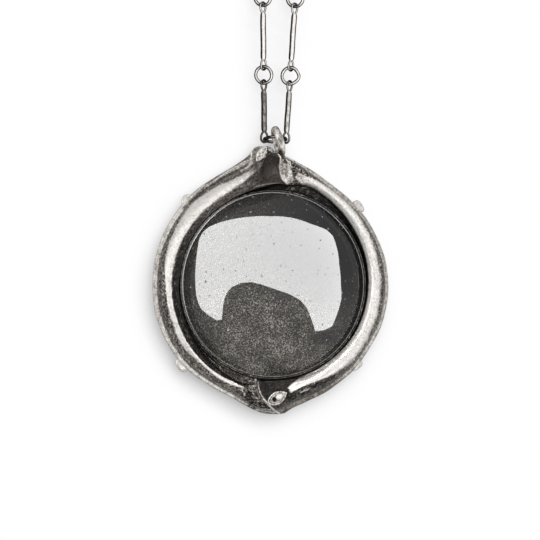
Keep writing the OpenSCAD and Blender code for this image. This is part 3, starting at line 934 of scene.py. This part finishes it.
def bar(shape, place, length, held, turns, seed, wear):
    """A bar and its two eyes. held and turns: wire and turn at the lower and upper eye."""
    foot = EYE_LENGTH - held[0] - SHAFT_SINK
    shaft(shape, place, foot, length - EYE_LENGTH + held[1] + SHAFT_SINK, seed, wear)
    bar_eye(shape, place @ turn_about("Z", turns[0]), held[0], 0.8 * wear)
    upper = place @ moved(0, 0, length) @ turn_about("X", 180) @ turn_about("Z", turns[1])
    bar_eye(shape, upper, held[1], 0.8 * wear)


# How far links, and the bars' eyes from them, turn about the strand in degrees.
LINK_TURN = -30
EYE_TURN = 28
# Level of wear and painted light of links and bars, and of the lowest bar of the right and the left
# strand, which are darker.
LINK_WEAR = 0.76
BAR_WEAR = 0.82
FIRST_BAR_LEVEL = (0.62, 0.4)
# The bent link that the photo shows: how pointed, and at which angle.
BENT_CORNER = (0.09, -8)


def strand_piece(sign, material):
    """One strand. Its links turn about the strand as they hang, and the last one is square to it."""
    left = sign < 0
    name = "strand_left" if left else "strand_right"
    node = "chain_left" if left else "chain_right"
    shape = Shape()
    seed = 100 if left else 200
    draw = np.random.RandomState(seed)
    base = moved(sign * CENTRE_R, 0, 0)
    lean = base @ turn_about("Y", sign * SPREAD)
    straight = [1 - step(PAIRS - 4, PAIRS - 1.5, float(i)) for i in range(PAIRS)]
    twists = [(LINK_TURN + draw.uniform(-6, 6)) * share for share in straight]
    for i, twist in enumerate(twists):
        if i == 0:
            length, held, wear = FIRST_BAR_LENGTH, CENTRE_WIRE_R, FIRST_BAR_LEVEL[left]
            lower_turn, foot = (0 if left else LINK_TURN), 0
        else:
            length, held, wear = BAR_LENGTH, RING_WIRE_R, BAR_WEAR + draw.uniform(-0.06, 0.06)
            lower_turn, foot = 90 - EYE_TURN + twists[i - 1], i * PITCH - (BAR_LENGTH - FIRST_BAR_LENGTH)
        stand = lean @ moved(0, 0, foot)
        turns = (lower_turn, 90 + EYE_TURN - twist)
        bar(shape, stand, length, (held, RING_WIRE_R), turns, seed + i, wear)
        ring = stand @ moved(0, 0, length + RING_R) @ turn_about("Z", twist) @ turn_about("X", 90)
        corner = draw.uniform(0, 0.03), draw.uniform(0, 360)
        if i == 0 and not left:
            corner = BENT_CORNER
        link_ring(shape, ring, RING_R, RING_WIRE_R * LINK_FULL, seed + 50 + i, LINK_WEAR, corner)
    roof = base @ moved(sign * STRAND_RUN, 0, STRAND_RISE)
    roof = roof @ turn_about("Y", -sign * ROOF_ANGLE) @ moved(0, 0, RING_R)
    bar(shape, roof, BAR_LENGTH, (RING_WIRE_R, RING_WIRE_R), (90, 90), seed + 99, 0.8)
    return shape.build(name, CHAIN, material, "necklace", [node])


def centre_piece(material):
    shape = Shape()
    place = turn_about("X", -CENTRE_TILT)
    link_ring(shape, place, CENTRE_R, CENTRE_WIRE_R, 41, 0.6)
    return shape.build("middle_link", CHAIN, material, "necklace", ["centre_ring"])


# Half of the clasp's outline: radius in mm, and height as a share of the half length.
BARREL_HALF = [
    (0.0, 1.0), (0.55, 1.0), (0.8, 0.985), (1.05, 0.93), (1.25, 0.85), (1.34, 0.79),
    (1.34, 0.755), (1.42, 0.74), (1.46, 0.7), (1.42, 0.66), (1.34, 0.645), (1.34, 0.62),
    (1.4, 0.6), (1.47, 0.5), (1.49, 0.3), (1.48, 0.04), (1.38, 0.02), (1.38, 0.0),
]


def clasp_piece(material):
    shape = Shape()
    half = BARREL_LENGTH / 2
    upper = [(r, h * half) for r, h in BARREL_HALF]
    lower = [(r, -h) for r, h in upper[:-1]]
    points, faces = lathe(lower + upper[::-1], 64)
    shape.add(placed(points, turn_about("Y", 90)), faces, wear=0.7, mottle=0.5)
    for sign in (-1, 1):
        place = moved(sign * (half + CLASP_RING_R - CLASP_RING_SINK), 0, 0) @ turn_about("X", 90)
        link_ring(shape, place, CLASP_RING_R, RING_WIRE_R, 60 + sign, 0.75)
    place = CHAIN @ moved(0, 0, CHAIN_HEIGHT)
    return shape.build("barrel_clasp", place, material, "necklace", ["clasp"])


class Tree:
    """Short way to write the nodes of a new material, or of a new world."""

    def __init__(self, name, kind="Material"):
        library = bpy.data.worlds if kind == "World" else bpy.data.materials
        self.owner, self.kind = library.new(name), kind
        self.owner.use_nodes = True
        self.tree = self.owner.node_tree
        self.tree.nodes.clear()

    def set(self, socket, value):
        if isinstance(value, bpy.types.NodeSocket):
            self.tree.links.new(value, socket)
        else:
            socket.default_value = value

    def add(self, kind, inputs=(), **settings):
        made = self.tree.nodes.new("ShaderNode" + kind)
        for key, value in settings.items():
            setattr(made, key, value)
        for key, value in dict(inputs).items():
            self.set(made.inputs[key], value)
        return made

    def math(self, operation, *values, clamp=False):
        made = self.add("Math", enumerate(values), operation=operation, use_clamp=clamp)
        return made.outputs[0]

    def plus(self, a, b, clamp=False):
        return self.math("ADD", a, b, clamp=clamp)

    def times(self, a, b):
        return self.math("MULTIPLY", a, b)

    def attribute(self, name, output="Fac"):
        return self.add("Attribute", attribute_name=name).outputs[output]

    def vector(self, operation, *values, output=0):
        return self.add("VectorMath", enumerate(values), operation=operation).outputs[output]

    def around(self, value, size):
        """The value's difference from one half, times size."""
        return self.times(self.math("SUBTRACT", value, 0.5), size)

    def scaled(self, vector, scale, turn=0.0):
        inputs = {"Vector": vector, "Rotation": (0, 0, turn), "Scale": scale}
        return self.add("Mapping", inputs).outputs[0]

    def noise(self, vector, scale, detail, roughness):
        inputs = {"Vector": vector, "Scale": scale, "Detail": detail, "Roughness": roughness}
        return self.add("TexNoise", inputs).outputs["Fac"]

    def spread(self, value, low, high, to_low=0.0, to_high=1.0):
        return self.add("MapRange", enumerate([value, low, high, to_low, to_high])).outputs[0]

    def ramp(self, value, stops):
        made = self.add("ValToRGB", {0: value})
        elements = made.color_ramp.elements
        while len(elements) < len(stops):
            elements.new(0.5)
        for element, (place, colour) in zip(elements, stops):
            element.position = place
            element.color = (*colour, 1)
        return made.outputs["Color"]

    def finish(self, shader):
        self.add("Output" + self.kind, {"Surface": shader})
        return self.owner


# Colour by how bare the silver is and by the painted highlights and shade in the same level.
SILVER_STOPS = [
    (0.0, (0.012, 0.0115, 0.011)),
    (0.12, (0.03, 0.028, 0.026)),
    (0.25, (0.07, 0.062, 0.056)),
    (0.4, (0.152, 0.135, 0.121)),
    (0.55, (0.28, 0.26, 0.238)),
    (0.7, (0.465, 0.441, 0.411)),
    (0.85, (0.64, 0.616, 0.588)),
    (1.0, (0.8, 0.776, 0.746)),
]
# Grain: noise scale per metre and strength. Strokes and scratches: scale along and across the flow.
COARSE_GRAIN, FINE_GRAIN = (850, 1.1), (2500, 2.4)
STROKE_SCALE = (6.0, 0.5, 1.0)
SCRATCH_SCALE, SCRATCH_TURN, SCRATCH_DEPTH = (0.8, 9.0, 1.0), 0.3, 0.35


def silver_material(name, mottle_amount, streak_amount, bump_height):
    """Oxidised silver: dark where the level of wear and painted light is 0, polished and lit where it is
    1, broken up by grain and streaks.
    """
    t = Tree(name)
    place = t.add("TexCoord").outputs["Object"]
    flow = t.attribute("flow", "Vector")
    wear, mottle, streak = t.attribute("wear"), t.attribute("mottle"), t.attribute("streak")
    coarse = t.around(t.noise(place, COARSE_GRAIN[0], 3, 0.65), COARSE_GRAIN[1])
    fine = t.around(t.noise(place, FINE_GRAIN[0], 2, 0.7), FINE_GRAIN[1])
    grain = t.times(t.plus(coarse, fine), mottle)
    strokes = t.noise(t.scaled(flow, STROKE_SCALE), 1.0, 2, 0.6)
    scratches = t.noise(t.scaled(flow, SCRATCH_SCALE, SCRATCH_TURN), 1.0, 2, 0.5)
    stroke_part = t.around(strokes, t.times(streak, streak_amount))
    scratch_part = t.around(scratches, t.spread(mottle, 0.0, 0.6, 0.1, 0.75))
    change = t.plus(t.times(grain, mottle_amount), t.plus(stroke_part, scratch_part))
    level = t.plus(wear, change, clamp=True)
    height = t.plus(grain, t.times(scratches, SCRATCH_DEPTH))
    bump = t.add("Bump", {"Strength": 0.6, "Distance": bump_height, "Height": height})
    look = {
        "Base Color": t.ramp(level, SILVER_STOPS),
        "Metallic": 1.0,
        "Roughness": t.spread(level, 0.0, 1.0, 0.52, 0.44),
        "Normal": bump.outputs[0],
    }
    return t.finish(t.add("BsdfPrincipled", look).outputs[0])


# Colour by how strong the painted sheen is, with its grains.
GLASS_STOPS = [
    (0.0, (0.01, 0.01, 0.011)),
    (0.3, (0.036, 0.034, 0.032)),
    (0.6, (0.097, 0.089, 0.079)),
    (1.0, (0.27, 0.248, 0.222)),
]
# Painted sheen low in the dome and painted glow at its upper left, lighter colour that stands in for
# light on the stone: x, depth and z from the stone's axis at the back plate, then the distances where
# each begins and is full. The painted sheen also fades between two heights.
PAINTED_SHEEN = ((-1, 6, -12), 22, 6)
PAINTED_SHEEN_HEIGHTS = (5, -4)
PAINTED_GLOW = ((-13, 6, 9), 23, 4)
# The radii between which the dome's polish ends in a matt edge, and how rough each part is.
MATT_EDGE = (17.4, 17.45)
POLISHED, DUSTY, MATT = 0.03, 0.8, 0.9
# Noise scales per metre.
CLOUD_SCALE, GRAIN_SCALE, SPARK_SCALE, DUST_SCALE = 230, 3900, 3500, 1900


def stone_material():
    """Black volcanic glass under a clear polish, with fine silvery grains lit by a painted sheen low in
    the dome and a painted glow at its upper left.
    """
    t = Tree("volcanic_glass")
    place = t.add("TexCoord").outputs["Object"]

    def close_to(at, far, near):
        x, depth, z = at
        centre = (AXIS_X + x * MM, BACK_Y - depth * MM, AXIS_Z + z * MM)
        return t.spread(t.vector("DISTANCE", place, centre, output="Value"), far * MM, near * MM)

    # Painted sheen and painted glow: the stone's colour is lightened low in the dome and at its upper
    # left, standing in for light on it.
    height = t.add("SeparateXYZ", {0: place}).outputs["Z"]
    low = t.spread(height, *(AXIS_Z + z * MM for z in PAINTED_SHEEN_HEIGHTS))
    painted_sheen = t.times(low, close_to(*PAINTED_SHEEN))
    glow = close_to(*PAINTED_GLOW)
    cloud = t.spread(t.noise(place, CLOUD_SCALE, 4, 0.65), 0.35, 0.65, 0.62, 1.18)
    body = t.times(painted_sheen, cloud)
    grains = t.spread(t.noise(place, GRAIN_SCALE, 1, 0.8), 0.44, 0.66)
    sparks = t.spread(t.noise(place, SPARK_SCALE, 0, 0.5), 0.66, 0.76)
    dust = t.noise(place, DUST_SCALE, 0, 0.5)
    grain_size = t.plus(t.times(body, 0.82), t.times(glow, 0.5))
    spark_size = t.plus(t.times(body, 0.3), 0.06)
    base = t.plus(t.times(body, 0.23), t.times(glow, 0.17))
    grained = t.plus(base, t.times(grains, grain_size))
    level = t.plus(grained, t.times(sparks, spark_size), clamp=True)
    from_axis = t.vector("MULTIPLY", t.vector("SUBTRACT", place, (AXIS_X, 0, AXIS_Z)), (1, 0, 1))
    radius = t.vector("LENGTH", from_axis, output="Value")
    edge = t.spread(radius, *(r * MM for r in MATT_EDGE), POLISHED, MATT)
    look = {
        "Base Color": t.ramp(level, GLASS_STOPS),
        "Roughness": t.math("MAXIMUM", t.spread(dust, 0.783, 0.803, POLISHED, DUSTY), edge),
        "IOR": 1.52,
        "Specular IOR Level": 0.36,
    }
    return t.finish(t.add("BsdfPrincipled", look).outputs[0])


def link_light(light, role, objects, state):
    """Says which objects the light falls on (role "receiver") or is shaded by (role "blocker")."""
    group = bpy.data.collections.new(f"{light.name}_{role}s")
    for o in objects:
        group.objects.link(o)
    setattr(light.light_linking, role + "_collection", group)
    for row in group.collection_objects:
        row.light_linking.link_state = state


# Soft lights: name, size in metres, place in the pendant's frame, radiance, whether gloss mirrors
# it, and whether it lights the stone alone or all but the stone.
LIGHTS = [
    ("key", (2.9, 2.2), (150, -600, 150), 1.1, True, "EXCLUDE"),
    ("left_light", (1.6, 2.0), (-1300, -450, 150), 1.0, True, "EXCLUDE"),
    ("sheen_light", (2.0, 2.0), (0, -600, 300), 1.0, False, "INCLUDE"),
]


def soft_light(name, size, place, radiance, glossy):
    """A light whose surface has that radiance and faces the pendant."""
    data = bpy.data.lights.new(name, "AREA")
    data.shape = "RECTANGLE"
    data.size, data.size_y = size
    data.energy = radiance * math.pi * size[0] * size[1]
    light = bpy.data.objects.new(name, data)
    light.location = PENDANT @ Vector(place)
    away = light.location - PENDANT @ Vector((0, -AIM_DEPTH, 0))
    light.rotation_euler = away.to_track_quat("Z", "Y").to_euler()
    light.visible_glossy = glossy
    SCENE.collection.objects.link(light)
    return light


# The window that the dome mirrors, as [x, z] in mm at WINDOW_DISTANCE in front of the pendant. It
# stands WINDOW_PLACE times as far away and as large, behind the other lights. Its lower edge is
# broken by a plain rounded shape.
WINDOW_DISTANCE = 600
WINDOW_PLACE = 1.6
WINDOW = [
    (-1540, 1160), (-1510, 1360), (-1300, 1420), (-920, 1310), (-590, 1190), (-200, 1075), (110, 1035),
    (480, 1090), (950, 1120), (1700, 1360), (2000, 1300), (1700, 700), (1480, 350), (1460, -10),
    (1600, -290), (1550, -480), (1510, -880), (1100, -800), (780, -690), (650, -520), (540, -380),
    (440, -250), (330, -150), (210, -90), (90, -50), (-40, -5), (-150, 22), (-250, 14), (-350, -25),
    (-420, -90), (-465, -180), (-500, -300), (-545, -450), (-650, -490), (-830, -460), (-1020, -410),
    (-1090, -340), (-1145, -190), (-1165, 0), (-1225, 340), (-1310, 620),
]
WINDOW_RADIANCE = 21.0
ROOM_LIGHT = 0.68


def stage_piece(name, points, faces, material):
    mesh = bpy.data.meshes.new(name)
    mesh.from_pydata(points, [], faces)
    mesh.materials.append(material)
    piece = bpy.data.objects.new(name, mesh)
    SCENE.collection.objects.link(piece)
    return piece


def window_piece(stone, passed):
    """The window, which only the stone mirrors. What is passed doesn't shade it."""
    points = [PENDANT @ (Vector((x, -WINDOW_DISTANCE, z)) * WINDOW_PLACE) for x, z in WINDOW]
    t = Tree("window_glow")
    glow = t.add("Emission", {"Color": (1, 1, 1, 1), "Strength": WINDOW_RADIANCE}).outputs[0]
    piece = stage_piece("window_light", points, [range(len(points))], t.finish(glow))
    piece.visible_camera = piece.visible_diffuse = piece.visible_shadow = False
    link_light(piece, "receiver", [stone], "INCLUDE")
    link_light(piece, "blocker", passed, "EXCLUDE")


def studio_world():
    """White to the camera, and a little darker as a light."""
    t = Tree("studio", "World")
    seen = t.add("LightPath").outputs["Is Camera Ray"]
    strength = t.spread(seen, 0.0, 1.0, ROOM_LIGHT, 1.0)
    white = t.add("Background", {"Color": (1, 1, 1, 1), "Strength": strength})
    SCENE.world = t.finish(white.outputs[0])


# The floor and the sheet behind the object, in metres, and how near the object darkens the sheet.
FLOOR_Z = -0.315
FLOOR_R = 0.4
SHEET_R = 0.16
SHEET_PLACE = (0.0026, -0.17)
SHADE_REACH = 5.5 * MM
SHADE_NORMAL = (0.34, -0.66, 0.67)
DISC_SIDES = 96


def disc(name, radius, material):
    rim = [(radius * math.cos(a), radius * math.sin(a), 0) for a in full_turn(DISC_SIDES)]
    faces = [(0, k + 1, (k + 1) % DISC_SIDES + 1) for k in range(DISC_SIDES)]
    piece = stage_piece(name, [(0, 0, 0)] + rim, faces, material)
    piece.visible_glossy = False
    return piece


def floor_piece():
    """A pale disc whose edge fades out."""
    t = Tree("pale_floor")
    place = t.add("TexCoord").outputs["Object"]
    shown = t.spread(t.vector("LENGTH", place, output="Value"), FLOOR_R * 0.95, FLOOR_R * 0.35)
    pale = t.add("BsdfDiffuse", {"Color": (0.85, 0.85, 0.84, 1)}).outputs[0]
    clear = t.add("BsdfTransparent").outputs[0]
    both = t.add("MixShader", {0: shown, 1: clear, 2: pale}).outputs[0]
    piece = disc("floor", FLOOR_R, t.finish(both))
    piece.location = (AXIS_X, 0, FLOOR_Z)
    return piece


def shade_piece():
    """A clear sheet just behind the object, which darkens where the object comes close to it."""
    t = Tree("contact_shade")
    normal = t.add("CombineXYZ", enumerate(SHADE_NORMAL)).outputs[0]
    inputs = {"Distance": SHADE_REACH, "Normal": normal}
    free = t.add("AmbientOcclusion", inputs, samples=12).outputs["AO"]
    tight, wide = t.spread(free, 0.25, 0.85, 0.25, 1.0), t.spread(free, 0.75, 0.95, 0.93, 1.0)
    clear = t.add("BsdfTransparent", {"Color": t.times(tight, wide)}).outputs[0]
    piece = disc("contact_sheet", SHEET_R, t.finish(clear))
    piece.data.transform(moved(AXIS_X, *SHEET_PLACE) @ turn_about("X", 90))
    piece.visible_diffuse = piece.visible_shadow = piece.visible_transmission = False


def stage(stone, serpents):
    for *light, state in LIGHTS:
        link_light(soft_light(*light), "receiver", [stone], state)
    window_piece(stone, [serpents, floor_piece()])
    studio_world()
    shade_piece()
    SCENE.view_settings.view_transform = "Standard"


silver = silver_material("oxidised_silver", 0.7, 0.9, 0.00003)
wire = silver_material("darkened_wire", 0.36, 0.1, 0.00001)
glass = stone_material()
serpents = serpent_piece(silver)
upper_eye_piece(silver)
lower_eye_piece(silver)
beads_piece(silver)
bail_piece(silver)
dome = stone_piece(glass)
strand_piece(-1, wire)
strand_piece(1, wire)
centre_piece(wire)
clasp_piece(wire)
stage(dome, serpents)
